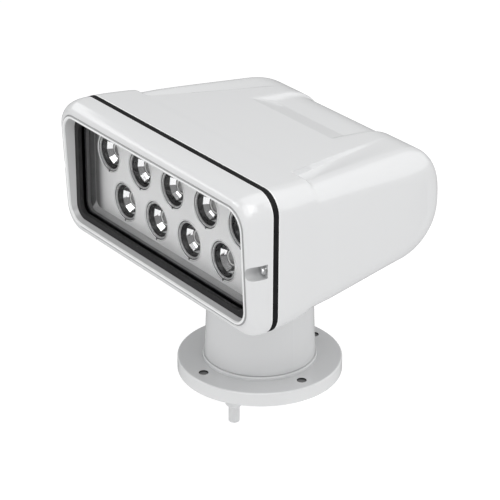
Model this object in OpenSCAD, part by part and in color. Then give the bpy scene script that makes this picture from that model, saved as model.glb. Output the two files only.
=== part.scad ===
// Remote-controlled marine searchlight: motor-driven pan and tilt, sealed nine-cell LED head.
// Millimetres, Z up. Origin at the centre of the flange underside, lamp front faces -Y.

/* [Base] */
// Flange diameter
flange_d = 152.4; // [140:0.1:170]
// Flange thickness
flange_t = 13.9; // [10:0.1:20]
// Bolt circle diameter
bolt_pcd = 127; // [118:0.5:134]
// Bolt hole diameter
bolt_d = 8.7; // [6:0.1:11]
// Number of bolt holes
bolt_n = 4; // [3:1:8]
// Raised collar diameter round the column foot
collar_d = 106; // [104:0.5:112]
// Raised collar height
collar_h = 3.2; // [2:0.1:5]

/* [Lead outlet] */
// Outlet tube outside diameter
spigot_d = 10.3; // [8:0.1:12]
// Outlet tube bore
spigot_bore = 6.8; // [4:0.1:7.5]
// Outlet tube reach below the deck face
spigot_l = 48; // [30:1:70]
// Outlet position ahead of the pan axis
spigot_y = 29.3; // [26:0.1:34]

/* [Column] */
// Column diameter at the foot
column_d0 = 102.2; // [100:0.2:104]
// Column diameter at the shoulder
column_d1 = 96.4; // [92:0.2:100]
// Height of the column top above the deck
column_top = 100; // [98:0.5:101]

/* [Head] */
// Head width at the gasket
head_w = 290.5; // [280:0.5:300]
// Head height at the gasket
head_h = 128.9; // [124:0.1:134]
// Corner radius at the gasket
head_r = 19.4; // [16:0.1:24]
// Height of the head centre line above the deck
head_z = 184.3; // [182:0.1:190]
// Rim width of the bezel opening
rim_w = 270.9; // [266:0.1:274]
// Rim height of the bezel opening
rim_h = 105.2; // [102:0.1:108]
// Forward lean of the rim, mm per mm of height
rim_rake = 0.0502; // [0:0.0001:0.08]
// Housing wall thickness
wall = 4; // [3:0.25:5]

/* [Tilt] */
// Height of the tilt axis above the deck
tilt_z = 180; // [178:0.5:184]
// Tilt travel each way, degrees
tilt_max = 20; // [10:1:20]

/* [Light cells] */
// Cup rim diameter
cup_d = 35.4; // [30:0.2:38]
// Cup pitch along a row
cup_pitch = 50; // [44:0.5:54]
// Distance of each row from the centre line
row_dz = 19.5; // [18:0.25:22]

/* [Hidden] */
$fn = 64;

// colours
c_white = [0.88,0.89,0.90]; c_black = [0.10,0.10,0.11]; c_steel = [0.70,0.71,0.73];
c_alu = [0.78,0.79,0.80]; c_bronze = [0.72,0.53,0.30]; c_pcb = [0.10,0.32,0.18];
c_chrome = [0.86,0.87,0.88]; c_dark = [0.25,0.26,0.28];

// running clearance on a shaft, and the smallest gap left between parts that move past each other
run = 0.05;
gap = 0.4;

// base and column heights
collar_top = flange_t + collar_h;
column_z0 = collar_top + 0.5;
spindle_r = 12;
spindle_top = 94.5;
hub_r = 18;
bush_r = 14.5;
ledge_z = 34;
well_r = 41.6;     // well in the flange that clears the pan pinion
col_in = column_d0/2 - 4;
thread_r = spigot_d/2 + 0.45;

// gears
pan_m = 1.25; pan_z1 = 32; pan_z2 = 16;
tilt_m = 1.5; tilt_z1 = 40; tilt_z2 = 14;
pan_c = pan_m*(pan_z1+pan_z2)/2;
tilt_c = tilt_m*(tilt_z1+tilt_z2)/2;
tilt_beta = 20;
pin_y = tilt_c*cos(tilt_beta);
pin_z = tilt_z + tilt_c*sin(tilt_beta);

// neck, pocket and tilt axle
neck_hx = 30; neck_r = 20;
pocket_hx = 31.5; pocket_r = 25; pocket_t = 3;
axle_r = 6; tbush_r = 9;
boss_x = 44;

// head stations along Y
y_g0 = -95.0;      // gasket front face
y_g1 = -89.8;      // gasket rear face, front face of the housing
y_rim = -119.7;    // rim at mid-height
y_lip = -111;      // back of the bezel lip
y_plate = -93.5;   // front of the reflector plate
y_led = -84;       // front of the emitter bases
y_board = -80;     // front of the circuit board
screw_x = 141.2;
y_seat = -100.8;    // seat of the bezel screws

// housing outline: slopes of top and bottom, superelliptical rear
top_z0 = head_z + head_h/2 - 0.21; top_m = -0.0705;
bot_z0 = head_z - head_h/2 + 1.9; bot_m = 0.0795;
y_rear = 65.3;
function ztop(y) = top_z0 + top_m*(y - y_g1);
function zbot(y) = bot_z0 + bot_m*(y - y_g1);
rear_cz = 183.7;
rear_sy = 49.5;
rear_pu = 2.5; rear_pl = 2.07;
floor_a = atan(bot_m);
floor_out = zbot(0);
floor_in = zbot(0) + wall/cos(floor_a);

function lerp(a,b,t) = a + (b-a)*min(1,max(0,t));
function sm(t) = let(u=min(1,max(0,t))) u*u*(3-2*u);
function unit2(v) = v/norm(v);

// ---------- helpers ----------
module ex_y(y0,y1) translate([0,y1,0]) rotate([90,0,0]) linear_extrude(y1-y0) children();
module ex_x(x0,x1) translate([x0,0,0]) rotate([90,0,90]) linear_extrude(x1-x0) children();
module cyl_y(y0,y1,r) translate([0,y1,0]) rotate([90,0,0]) cylinder(h=y1-y0,r=r);
module cyl_x(x0,x1,r) translate([x0,0,0]) rotate([0,90,0]) cylinder(h=x1-x0,r=r);
module tube(r0,r1,z0,z1) translate([0,0,z0]) difference() {
  cylinder(h=z1-z0,r=r1);
  translate([0,0,-1]) cylinder(h=z1-z0+2,r=r0);
}
module rr2(w,h,r) {
  square([w-2*r,h],center=true);
  square([w,h-2*r],center=true);
  for (sx=[-1,1],sz=[-1,1]) translate([sx*(w/2-r),sz*(h/2-r)]) circle(r=r);
}
module rslab(w,h,r,y0,y1) translate([0,0,head_z]) ex_y(y0,y1) rr2(w,h,r);
module at_floor() translate([0,0,floor_in]) rotate([floor_a,0,0]) children();
module polar(n,r,a0=0) for (i=[0:n-1]) rotate([0,0,a0+i*360/n]) translate([r,0,0]) children();
// cap screw standing on z=0, head up
module screw(r,l,hr,hh) {
  difference() {
    cylinder(h=hh,r=hr);
    translate([0,0,hh*0.4]) cylinder(h=hh,r=hr*0.5,$fn=6);
  }
  translate([0,0,-l]) cylinder(h=l,r=r);
}
// involute spur gear
function inv(a) = tan(a)*180/PI - a;
function gear_pts(m,z,bl) =
  let(rp=m*z/2, rb=rp*cos(20), rf=rp-1.25*m, ra=rp+0.9*m,
      half=(PI*m/2-bl)/2/rp*180/PI, r0=max(rf,rb),
      rs=concat(rf<rb ? [rf] : [], [for(i=[0:4]) r0+(ra-r0)*i/4]),
      n=len(rs), ps=[for(r=rs) half + inv(20) - inv(acos(min(1,rb/r)))])
  [for(k=[0:z-1]) each concat(
    [for(i=[0:n-1]) rs[i]*[cos(k*360/z-ps[i]),sin(k*360/z-ps[i])]],
    [for(i=[n-1:-1:0]) rs[i]*[cos(k*360/z+ps[i]),sin(k*360/z+ps[i])]])];
module gear2(m,z) polygon(gear_pts(m,z,0.38));

// loft through rounded-rectangle rings [w,h,r,y,rake]; the last ring joins the first
corner_n = 7;
function rring(g) = [for(q=[0:3],i=[0:corner_n])
  let(a=q*90+i*90/corner_n, sx=(q==0||q==3)?1:-1, sz=(q<2)?1:-1,
      x=sx*(g[0]/2-g[2])+g[2]*cos(a), z=sz*(g[1]/2-g[2])+g[2]*sin(a))
  [x, g[3]-g[4]*z, head_z+z]];
module ringloft(gs) {
  n = 4*(corner_n+1); m = len(gs);
  polyhedron(points=[for(g=gs) each rring(g)],
    faces=[for(k=[0:m-1],i=[0:n-1]) let(j=(i+1)%n,l=(k+1)%m) each
      [[k*n+i,l*n+i,l*n+j],[k*n+i,l*n+j,k*n+j]]]);
}

// ---------- base ----------
module base_flange() color(c_white) difference() {
  union() {
    rotate_extrude() union() {
      square([flange_d/2-1.5,flange_t]);
      translate([0,1.5]) square([flange_d/2,flange_t-3]);
      for (z=[1.5,flange_t-1.5]) translate([flange_d/2-1.5,z]) circle(r=1.5);
      translate([0,flange_t-0.5]) square([collar_d/2-1,collar_h+0.5]);
      translate([0,flange_t-0.5]) square([collar_d/2,collar_h-0.5]);
      translate([collar_d/2-1,collar_top-1]) circle(r=1);
    }
    tube(well_r,43,collar_top-1,24);
  }
  translate([0,0,flange_t]) cylinder(h=40,r=well_r);
  translate([0,0,-1]) cylinder(h=40,r=8);
  for (i=[0:bolt_n-1]) rotate([0,0,i*360/bolt_n]) translate([bolt_pcd/2,0,-1]) cylinder(h=40,r=bolt_d/2);
  // wire channel to the outlet, and the seat of the outlet plate
  translate([-7,-spigot_y,3]) cube([14,spigot_y,5]);
  translate([0,-spigot_y,3]) cylinder(h=5,r=7);
  translate([0,0,-1]) cylinder(h=4,r=18);
  translate([-18,-spigot_y,-1]) cube([36,spigot_y,4]);
  translate([0,-spigot_y,-1]) cylinder(h=4,r=18);
  for (p=[[-12,0],[12,0],[-12,-spigot_y],[12,-spigot_y]]) translate([p[0],p[1],2]) cylinder(h=7,r=1.5);
  polar(4,23,45) translate([0,0,flange_t-9]) cylinder(h=10,r=2);
}
module outlet_spigot() color(c_white) difference() {
  union() {
    cylinder(h=3,r=18);
    translate([-18,-spigot_y,0]) cube([36,spigot_y,3]);
    translate([0,-spigot_y,0]) cylinder(h=3,r=18);
    translate([0,-spigot_y,-spigot_l]) rotate_extrude() union() {
      square([spigot_d/2-1,spigot_l+1]);
      translate([0,1]) square([spigot_d/2,spigot_l]);
      translate([spigot_d/2-1,1]) circle(r=1);
      translate([0,spigot_l-31]) square([thread_r,31.5]);
    }
  }
  translate([0,-spigot_y,-spigot_l-1]) cylinder(h=spigot_l+10,r=spigot_bore/2);
  for (p=[[-12,0],[12,0],[-12,-spigot_y],[12,-spigot_y]]) translate([p[0],p[1],-1]) {
    cylinder(h=9,r=1.5);
    cylinder(h=2.6,r=3);
  }
}
module outlet_screws() color(c_steel)
  for (p=[[-12,0],[12,0],[-12,-spigot_y],[12,-spigot_y]]) translate([p[0],p[1],1.6]) rotate([180,0,0]) screw(1.5,6.4,2.9,1.4);
module outlet_nut() color(c_white) translate([0,-spigot_y,0]) difference() {
  union() {
    translate([0,0,-9]) cylinder(h=9,r=10.4,$fn=6);
    translate([0,0,-29.5]) cylinder(h=21,r=8);
    translate([0,0,-31]) cylinder(h=1.5,r1=6.5,r2=8);
  }
  translate([0,0,-40]) cylinder(h=60,r=thread_r);
}
module pan_spindle() color(c_steel) difference() {
  union() {
    translate([0,0,flange_t]) cylinder(h=6,r=28);
    translate([0,0,flange_t]) cylinder(h=spindle_top-flange_t,r=spindle_r);
  }
  translate([0,0,0]) cylinder(h=200,r=8);
  polar(4,23,45) cylinder(h=40,r=2);
}
module spindle_screws() color(c_steel) polar(4,23,45) translate([0,0,flange_t+6]) screw(2,14,3.2,1.6);
module pan_gear() color(c_bronze) translate([0,0,flange_t+8]) linear_extrude(6) difference() {
  rotate([0,0,90]) gear2(pan_m,pan_z1);
  circle(r=spindle_r);
}
module spindle_nut() color(c_steel) translate([0,0,88.5]) difference() {
  cylinder(h=5.5,r=19,$fn=6);
  translate([0,0,-1]) cylinder(h=8,r=spindle_r);
}
module slip_ring_stator() color(c_dark) {
  translate([0,0,62]) cylinder(h=32,r=8);
  translate([0,0,50]) cylinder(h=12,r=3.5);
}

// ---------- turret ----------
module turret_column() color(c_white) difference() {
  rotate_extrude() difference() {
    union() {
      polygon([[0,column_z0],[column_d0/2,column_z0],[column_d1/2,column_top-8],[0,column_top-8]]);
      translate([0,column_top-9]) square([column_d1/2-8,9]);
      translate([column_d1/2-8,column_top-8]) circle(r=8);
    }
    polygon([[0,0],[col_in,0],[col_in,ledge_z],[0,ledge_z]]);
    translate([0,ledge_z-1]) square([40,6]);
    polygon([[0,ledge_z+4],[col_in-0.8,ledge_z+4],[column_d1/2-4,column_top-12],[column_d1/2-12,column_top-4],[0,column_top-4]]);
    translate([0,column_top-5]) square([28,10]);
  }
  polar(4,42.5,45) translate([0,0,ledge_z-1]) cylinder(h=4,r=1.6);
  for (a=[60,120,240,300]) rotate([0,0,a]) translate([32,0,column_top-6]) cylinder(h=10,r=2);
}
module turret_hub() color(c_alu) difference() {
  union() {
    translate([0,0,ledge_z-4]) cylinder(h=4,r=46);
    translate([0,0,ledge_z-4]) cylinder(h=88-ledge_z+4,r=hub_r);
  }
  cylinder(h=200,r=bush_r);
  translate([0,pan_c,0]) cylinder(h=60,r=4);
  for (s=[-1,1]) translate([s*8,pan_c,0]) cylinder(h=60,r=1.3);
  translate([0,pan_c,ledge_z]) cylinder(h=60,r=11.4);
  polar(4,42.5,45) cylinder(h=60,r=1.6);
}
module hub_screws() color(c_steel) polar(4,42.5,45) translate([0,0,ledge_z-4]) rotate([180,0,0]) screw(1.6,7,2.8,2);
module pan_bush_lower() color(c_bronze) {
  tube(spindle_r+run,bush_r,30,42);
  tube(spindle_r+run,hub_r-0.5,28.4,30);
}
module pan_bush_upper() color(c_bronze) {
  tube(spindle_r+run,bush_r,74,86.6);
  tube(spindle_r+run,bush_r,86.6,88);
}
module pan_seal() color(c_black) rotate_extrude() polygon([[43+run,18.6],[43+run,19.4],[44.2,20.4],[44.2,23],
  [col_in,23],[col_in,18],[43.8,18]]);
module pan_motor() color(c_dark) translate([0,pan_c,0]) difference() {
  union() {
    translate([0,0,ledge_z]) cylinder(h=18,r=9.7);
    translate([0,0,ledge_z+18]) cylinder(h=28,r=10.4);
    translate([0,0,ledge_z+46]) cylinder(h=3,r=3);
  }
  translate([0,0,ledge_z-1]) cylinder(h=8,r=2+run);
  for (s=[-1,1]) translate([s*8,0,ledge_z-1]) cylinder(h=6,r=1.3);
}
module pan_motor_screws() color(c_steel) for (s=[-1,1]) translate([s*8,pan_c,ledge_z-4]) rotate([180,0,0]) screw(1.3,8,2.2,1.4);
module pan_pinion() color(c_steel) translate([0,pan_c,0]) {
  translate([0,0,flange_t+8.2]) linear_extrude(5.6) rotate([0,0,-90+180/pan_z2]) gear2(pan_m,pan_z2);
  translate([0,0,flange_t+8]) cylinder(h=ledge_z+6.5-flange_t-8,r=2);
}
module slip_ring_rotor() color(c_dark) {
  translate([0,0,100.5]) cylinder(h=12,r=10);
  translate([0,0,94.4]) cylinder(h=7,r=4);
}
module tilt_neck() color(c_white) difference() {
  union() {
    translate([0,0,column_top]) cylinder(h=5,r=36);
    ex_x(-neck_hx,neck_hx) union() {
      translate([0,tilt_z]) circle(r=neck_r);
      translate([-neck_r,column_top+1]) square([2*neck_r,tilt_z-column_top-1]);
    }
  }
  translate([0,0,column_top-1]) cylinder(h=66,r=10);
  translate([0,0,tilt_z-20]) cylinder(h=20,r=3);
  translate([0,0,tilt_z]) cyl_x(-60,60,axle_r);
  translate([16,0,tilt_z]) cylinder(h=40,r=2);
  for (a=[60,120,240,300]) rotate([0,0,a]) translate([32,0,column_top-1]) cylinder(h=10,r=2);
}
module neck_screws() color(c_steel) for (a=[60,120,240,300]) rotate([0,0,a]) translate([32,0,column_top+5]) screw(2,9,3.3,2.4);
module tilt_axle() color(c_steel) translate([0,0,tilt_z]) difference() {
  cyl_x(-47,54,axle_r);
  cyl_x(-60,60,3.2);
  translate([0,0,-20]) cylinder(h=20,r=3);
  translate([16,0,2]) cylinder(h=20,r=2);
  translate([46.5,-1.25,4.5]) cube([6,2.5,10]);
}
module axle_pin() color(c_steel) translate([16,0,tilt_z+3.6]) cylinder(h=15.5,r=2);
module axle_key() color(c_steel) translate([46.5,-1.25,tilt_z+4.5]) cube([6,2.5,3]);
module axle_clips() color(c_steel) translate([0,0,tilt_z]) for (s=[-1,1]) difference() {
  translate([s*45.25,0,0]) cyl_x(-0.6,0.6,9.5);
  cyl_x(-60,60,axle_r);
}
module tilt_gear() color(c_bronze) translate([0,0,tilt_z]) difference() {
  ex_x(46.5,52.5) rotate([0,0,tilt_beta]) gear2(tilt_m,tilt_z1);
  cyl_x(40,60,axle_r);
  translate([46,-1.25,4.5]) cube([7,2.5,3]);
  for (a=[0:60:300]) rotate([a,0,0]) translate([0,18,0]) cyl_x(40,60,5.5);
}

// ---------- head: housing ----------
// rows run along the outline from the front top round the rear to the front bottom
rows_y = [y_g1,-74,-70,-58,-50,-44,-38,-15,10,32,53,y_rear];
rear_n = 16;
function rear_a(i) = 90-180*(i-11)/(rear_n+1);
function rear_p(a) = let(e=2/(a>0?rear_pu:rear_pl), c=pow(cos(a),e), q=sign(a)*pow(abs(sin(a)),e))
  [y_rear+rear_sy*c, rear_cz+(a>0 ? ztop(y_rear)-rear_cz : rear_cz-zbot(y_rear))*q+(a>0?top_m:bot_m)*rear_sy*c*q*q];
function row_p(i) = i<12 ? [rows_y[i],ztop(rows_y[i])] : i<12+rear_n ? rear_p(rear_a(i)) :
  let(k=23+rear_n-i) [rows_y[k],zbot(rows_y[k])];
function row_n(i) = i==0 ? [0,-1] : i==23+rear_n ? [0,1] :
  let(d=row_p(i+1)-row_p(i-1)) unit2([d[1],-d[0]]);
function half_w(y) = y < -57 ? head_w/2 - 0.03*(y-y_g1) :
  y < -45 ? lerp(head_w/2-0.98,141.5,sm((y+57)/12)) : 141.5-0.126*(y+45);
function edge_r(y) = head_r + 4.8*sm((y+45)/120);
function groove_x(y) = 105.7-0.25*(y+45);
// sink of the top face: side cheeks and the rear scoop
function cheek_d(y) = 5*(1-min(1,max(0,(y+40)/118)));
function sink(x,y,p) = let(ax=abs(x),g=groove_x(y),t=sm((ax-g)/6)*sm((y+52)/14))
  t*cheek_d(y)*(1-0.96*sm((ax-g-4)/30))
  + max(0,min((y-32)*0.18,3.78-(y-56)*0.037,(58.4-ax)*0.52));
phis = [0,18,36,54,72,90];
cols = concat([for(i=[5:-1:0]) [-1,phis[i]]],[[-2,4],[-2,3],[-2,2],[-2,1],[0,0],[2,1],[2,2],[2,3],[2,4]],[for(i=[0:5]) [1,phis[i]]]);
function col_x(c,y,a,r) = abs(c[0])==1 ? c[0]*(a-r+r*sin(c[1])) :
  c[0]==0 ? 0 : (c[0]/2)*[0,51,58,groove_x(y),groove_x(y)+6][c[1]];
function land(y) = y <= -74 ? 9 : y < -70 ? lerp(9,wall,(y+74)/4) : wall;
function shell_pt(i,c,t) = let(p=row_p(i),n=row_n(i),tt=t*land(p[0]),r=edge_r(p[0])-tt,a=half_w(p[0])-tt,
  up=i<12 ? 1 : sm(sin(rear_a(i))/0.6),
  x=col_x(c,p[0],a,r), d=(abs(c[0])==1 ? r*(1-cos(c[1])) : 0),
  s=(i<12+rear_n/2 ? sink(x,p[0],up)*up : 0), q=p+n*(tt+d+s))
  [x, i==0||i==23+rear_n ? y_g1 : q[0], q[1]];
module shell_solid() {
  R = 24+rear_n; C = len(cols); M = R*C;
  top = [for(c=[0:C-1]) c]; bot = [for(c=[C-1:-1:0]) (R-1)*C+c];
  loop = concat(top,bot); L = len(loop);
  polyhedron(points=[for(t=[0,1],i=[0:R-1],c=[0:C-1]) shell_pt(i,cols[c],t)],
    faces=concat(
      [for(i=[0:R-2],c=[0:C-2]) let(A=i*C+c,B=A+1,D=A+C,E=D+1) each [[A,D,E],[A,E,B]]],
      [for(i=[0:R-2],c=[0:C-2]) let(A=M+i*C+c,B=A+1,D=A+C,E=D+1) each [[A,E,D],[A,B,E]]],
      [for(i=[0:R/2-2]) let(A=i*C+C-1,B=A+C,D=(R-2-i)*C+C-1,E=D+C) each [[A,B,D],[A,D,E]]],
      [for(i=[0:R/2-2]) let(A=M+i*C+C-1,B=A+C,D=M+(R-2-i)*C+C-1,E=D+C) each [[A,D,B],[A,E,D]]],
      [for(i=[0:R/2-2]) let(A=i*C,B=A+C,D=(R-2-i)*C,E=D+C) each [[A,D,B],[A,E,D]]],
      [for(i=[0:R/2-2]) let(A=M+i*C,B=A+C,D=M+(R-2-i)*C,E=D+C) each [[A,B,D],[A,D,E]]],
      [for(j=[0:L-1]) let(k=(j+1)%L) each [[loop[j],loop[k],M+loop[k]],[loop[j],M+loop[k],M+loop[j]]]]));
}
// pocket outline round the tilt axis, widening downwards by the tilt travel
module pocket2(r) translate([0,tilt_z]) let(n=14, a0=tilt_max, yb=(r+75*sin(tilt_max))/cos(tilt_max))
  polygon(concat([for(i=[0:n]) r*[cos(a0+(180-2*a0)*i/n),sin(a0+(180-2*a0)*i/n)]],[[-yb,-75],[yb,-75]]));
cradle_pts = [for(x=[-58,58],y=[-52,-2,46]) [x,y]];
module rear_housing() color(c_white) difference() {
  shell_solid();
  difference() {
    ex_x(-pocket_hx-pocket_t-run,pocket_hx+pocket_t+run) pocket2(pocket_r+pocket_t+run);
    translate([-100,-100,floor_in+12]) cube([200,200,200]);
  }
  at_floor() for (p=cradle_pts) translate([p[0],p[1],-2.6]) cylinder(h=4,r=1.6);
  for (s=[-1,1]) translate([s*screw_x,0,head_z]) cyl_y(y_g1-1,y_g1+13,1.75);
}
module tilt_cradle() color(c_alu) difference() {
  union() {
    ex_x(-pocket_hx-pocket_t,pocket_hx+pocket_t) pocket2(pocket_r+pocket_t);
    translate([0,0,tilt_z]) cyl_x(-boss_x,boss_x,13);
    at_floor() translate([-76,-62,0]) cube([152,116,4]);
  }
  ex_x(-pocket_hx,pocket_hx) pocket2(pocket_r);
  translate([0,0,tilt_z]) cyl_x(-60,60,tbush_r);
  translate([0,0,floor_out-1.5]) rotate([floor_a,0,0]) translate([-100,-150,-100]) cube([200,300,100]);
  at_floor() for (p=cradle_pts) translate([p[0],p[1],-1]) cylinder(h=8,r=1.6);
}
module cradle_screws() color(c_steel) at_floor() for (p=cradle_pts) translate([p[0],p[1],4]) screw(1.6,6.3,3,2);
module tilt_bushes() color(c_bronze) translate([0,0,tilt_z]) for (s=[-1,1]) difference() {
  union() {
    translate([s*36.75,0,0]) cyl_x(-5.25,5.25,tbush_r);
    translate([s*30.95,0,0]) cyl_x(-0.55,0.55,11.5);
  }
  cyl_x(-60,60,axle_r+run);
}
module tilt_seals() color(c_black) translate([0,0,tilt_z]) for (s=[-1,1]) difference() {
  translate([s*43,0,0]) cyl_x(-1,1,tbush_r);
  cyl_x(-60,60,axle_r+run);
}
module tilt_motor_bracket() color(c_steel) difference() {
  union() {
    translate([54.5,24,120]) cube([3,30,86]);
    at_floor() translate([54.5,24,4]) cube([19,29,3]);
  }
  at_floor() translate([0,-100,-60]) cube([200,300,64]);
  at_floor() translate([58,46,-10]) cylinder(h=20,r=4);
  translate([50,pin_y,pin_z]) cyl_x(0,10,4);
  for (s=[-1,1]) translate([50,pin_y,pin_z+s*8]) cyl_x(0,10,1.3);
}
module tilt_motor() color(c_dark) translate([0,pin_y,pin_z]) difference() {
  union() {
    cyl_x(57.5,78,11.5);
    cyl_x(78,106,11);
    cyl_x(106,109,3);
  }
  cyl_x(50,64,2+run);
  for (s=[-1,1]) translate([0,0,s*8]) cyl_x(50,62,1.3);
}
module tilt_motor_screws() color(c_steel) for (s=[-1,1]) translate([54.5,pin_y,pin_z+s*8]) rotate([0,-90,0]) screw(1.3,7,2.2,1.2);
module tilt_pinion() color(c_steel) translate([0,pin_y,pin_z]) {
  ex_x(46.7,52.3) rotate([0,0,tilt_beta+180+180/tilt_z2]) gear2(tilt_m,tilt_z2);
  cyl_x(46.2,63.5,2);
}

// ---------- head: front ----------
bez_y0 = -101;
function bez_ring(t) = [lerp(head_w,rim_w+2.4,1-cos(t)),lerp(head_h,rim_h+2.4,1-cos(t)),lerp(head_r,17.8,1-cos(t)),
  lerp(bez_y0,y_rim+0.6,sin(t)),lerp(0,rim_rake,sin(t))];
module front_bezel() color(c_white) difference() {
  ringloft(concat([[head_w,head_h,head_r,y_g0,0]],[for(t=[0:15:90]) bez_ring(t)],
    [[rim_w,rim_h,17.3,y_rim,rim_rake],[rim_w-2.4,rim_h-2.4,16.4,y_rim+0.5,rim_rake],
     [264.6,98.9,13.2,y_lip,0],[270,104.4,16,y_lip,0],[270,104.4,16,y_g0,0]]));
  // open slot over each screw, running out on the curved front
  intersection() {
    for (s=[-1,1]) translate([s*142.6,y_seat,head_z]) rotate([0,0,s*5.03]) translate([0,2,0]) rotate([90,0,0])
      linear_extrude(30) union() {
        circle(r=6.4);
        translate([s*10-10,-6.4]) square([20,12.8]);
      }
    translate([-200,y_seat-60,100]) cube([400,60,160]);
  }
  for (s=[-1,1]) translate([s*screw_x,0,head_z]) cyl_y(y_seat-1,-90,1.75);
}
module bezel_screws() color(c_steel) for (s=[-1,1]) translate([s*screw_x,y_seat,head_z]) rotate([90,0,0]) screw(1.75,22,4,2.2);
module housing_gasket() color(c_black) difference() {
  rslab(head_w,head_h,head_r,y_g0,y_g1);
  rslab(278,116.4,13.2,y_g0-1,y_g1+1);
  for (s=[-1,1]) translate([s*screw_x,0,head_z]) cyl_y(-110,-80,1.75);
}
module lens_gasket() color(c_black) difference() {
  rslab(269.8,104.2,15.9,y_lip,-101.2);
  rslab(253,87.3,9,-120,-90);
  rslab(262,96.4,12.5,-107.6,-102.6);
}
module lens_glass() color([0.80,0.88,0.92,0.35]) rslab(262,96.4,12.5,-107.6,-102.6);
module lens_frame() color(c_black) difference() {
  rslab(269.6,104,15.8,-101.2,-98);
  rslab(253,87.3,9,-120,-90);
}
module reflector_trim() color(c_alu) ringloft([[269.6,104,15.8,y_plate,0],[269.6,104,15.8,-98,0],
  [253,87.3,9,-98,0],[247.4,81.6,6.5,y_plate,0]]);
cells = concat([for(i=[-2:2]) [i*cup_pitch,row_dz]],[for(i=[-1.5:1:1.5]) [i*cup_pitch,-row_dz]]);
module at_cells() for (c=cells) translate([c[0],0,head_z+c[1]]) children();
module reflector_plate() color(c_alu) difference() {
  rslab(277,115.4,12.7,y_plate,y_g1);
  at_cells() cyl_y(-100,-80,cup_d/2);
}
// parabola of the cup wall, r at distance d behind the plate
cup_l = y_led + 0.8 - y_plate;
function cup_r(d) = let(r1=cup_d/2-1.8,r0=9.2) sqrt(r0*r0+(r1*r1-r0*r0)*(1-d/cup_l));
module reflector_cups() color(c_chrome) at_cells() translate([0,y_plate,0]) rotate([-90,0,0]) rotate_extrude()
  polygon(concat([[cup_d/2+0.9,-0.6],[cup_d/2-1.8,-0.6]],[for(i=[0:8]) [cup_r(cup_l*i/8),cup_l*i/8]],
    [for(i=[8:-1:0]) [cup_r(cup_l*i/8)+1.1,cup_l*i/8]],[[cup_d/2+0.9,0]]));
module led_emitters() color([0.92,0.86,0.55]) at_cells() {
  cyl_y(y_led,y_board,8.9);
  translate([0,y_led+1.6,0]) intersection() {
    sphere(r=6.2);
    cyl_y(-8,0,7);
  }
}
module led_board() color(c_pcb) difference() {
  rslab(258,92,4,y_board,y_board+1.6);
  for (x=[-124,124],z=[-41,41]) translate([x,0,head_z+z]) cyl_y(-90,-60,1.6);
}
module board_posts() color(c_steel) for (x=[-124,124],z=[-41,41]) translate([x,0,head_z+z]) {
  cyl_y(y_g1,y_board,3.5);
  cyl_y(y_board-0.5,y_board+5.5,1.6);
}
module heat_sink() color(c_alu) difference() {
  union() {
    rslab(256,88,4,y_board+1.6,y_board+7.6);
    for (i=[-10:10]) translate([i*12-1,y_board+7,head_z-44]) cube([2,23,88]);
  }
  for (x=[-124,124],z=[-41,41]) translate([x,0,head_z+z]) cyl_y(-90,y_board+5.5,1.6);
}
module driver_board() color(c_pcb) {
  translate([-72,-38,150]) cube([1.6,82,62]);
  intersection() {
    at_floor() translate([-72,-30,4]) cube([1.6,70,40]);
    translate([-100,-60,100]) cube([60,120,51]);
  }
  at_floor() translate([-72,-30,4]) cube([9,70,1.6]);
  for (p=[[-18,196,8,14],[8,196,8,14],[32,200,5,18],[32,184,5,18]]) translate([0,p[0],p[1]]) cyl_x(-72-p[3],-71.8,p[2]);
  for (p=[[-30,160,14,12,6],[-8,160,20,16,3],[20,158,16,12,9]]) translate([-72-p[4],p[0],p[1]]) cube([p[4]+0.2,p[2],p[3]]);
}

// ---------- output ----------
base_flange();
pan_spindle();
spindle_screws();
pan_gear();
spindle_nut();
slip_ring_stator();
outlet_spigot();
outlet_screws();
outlet_nut();
turret_column();
turret_hub();
hub_screws();
pan_bush_lower();
pan_bush_upper();
pan_seal();
pan_motor();
pan_motor_screws();
slip_ring_rotor();
tilt_neck();
neck_screws();
tilt_axle();
axle_pin();
axle_key();
axle_clips();
tilt_gear();
rear_housing();
front_bezel();
housing_gasket();
lens_gasket();
lens_glass();
lens_frame();
reflector_trim();
reflector_plate();
reflector_cups();
led_emitters();
led_board();
board_posts();
heat_sink();
driver_board();
bezel_screws();
tilt_cradle();
cradle_screws();
tilt_bushes();
tilt_seals();
tilt_motor();
tilt_motor_bracket();
tilt_motor_screws();
pan_pinion();
tilt_pinion();
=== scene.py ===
import bpy, bmesh, math
from mathutils import Matrix, Vector


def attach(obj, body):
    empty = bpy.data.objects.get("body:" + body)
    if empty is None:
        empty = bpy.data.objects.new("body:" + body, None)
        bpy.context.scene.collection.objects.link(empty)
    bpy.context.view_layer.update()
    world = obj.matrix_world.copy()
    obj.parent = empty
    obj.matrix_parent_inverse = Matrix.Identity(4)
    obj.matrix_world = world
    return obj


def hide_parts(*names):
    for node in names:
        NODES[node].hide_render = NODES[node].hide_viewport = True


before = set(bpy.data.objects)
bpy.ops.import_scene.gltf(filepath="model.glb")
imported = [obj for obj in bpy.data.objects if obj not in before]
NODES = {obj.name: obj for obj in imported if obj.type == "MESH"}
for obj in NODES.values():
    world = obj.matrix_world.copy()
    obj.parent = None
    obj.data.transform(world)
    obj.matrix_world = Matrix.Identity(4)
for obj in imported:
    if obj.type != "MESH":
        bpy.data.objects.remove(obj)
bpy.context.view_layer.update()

MM = 0.001
scene = bpy.context.scene


# ------------------------------------------------------------------ materials
def mat_new(name):
    m = bpy.data.materials.new(name)
    m.use_nodes = True
    nt = m.node_tree
    return m, nt, nt.nodes["Principled BSDF"]


def setv(sh, **kw):
    for k, v in kw.items():
        key = {"base": "Base Color", "metal": "Metallic", "rough": "Roughness", "ior": "IOR", "coat": "Coat Weight",
               "coat_rough": "Coat Roughness", "spec": "Specular IOR Level", "trans": "Transmission Weight",
               "alpha": "Alpha", "emit": "Emission Color", "emit_s": "Emission Strength"}[k]
        sh.inputs[key].default_value = v


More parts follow.
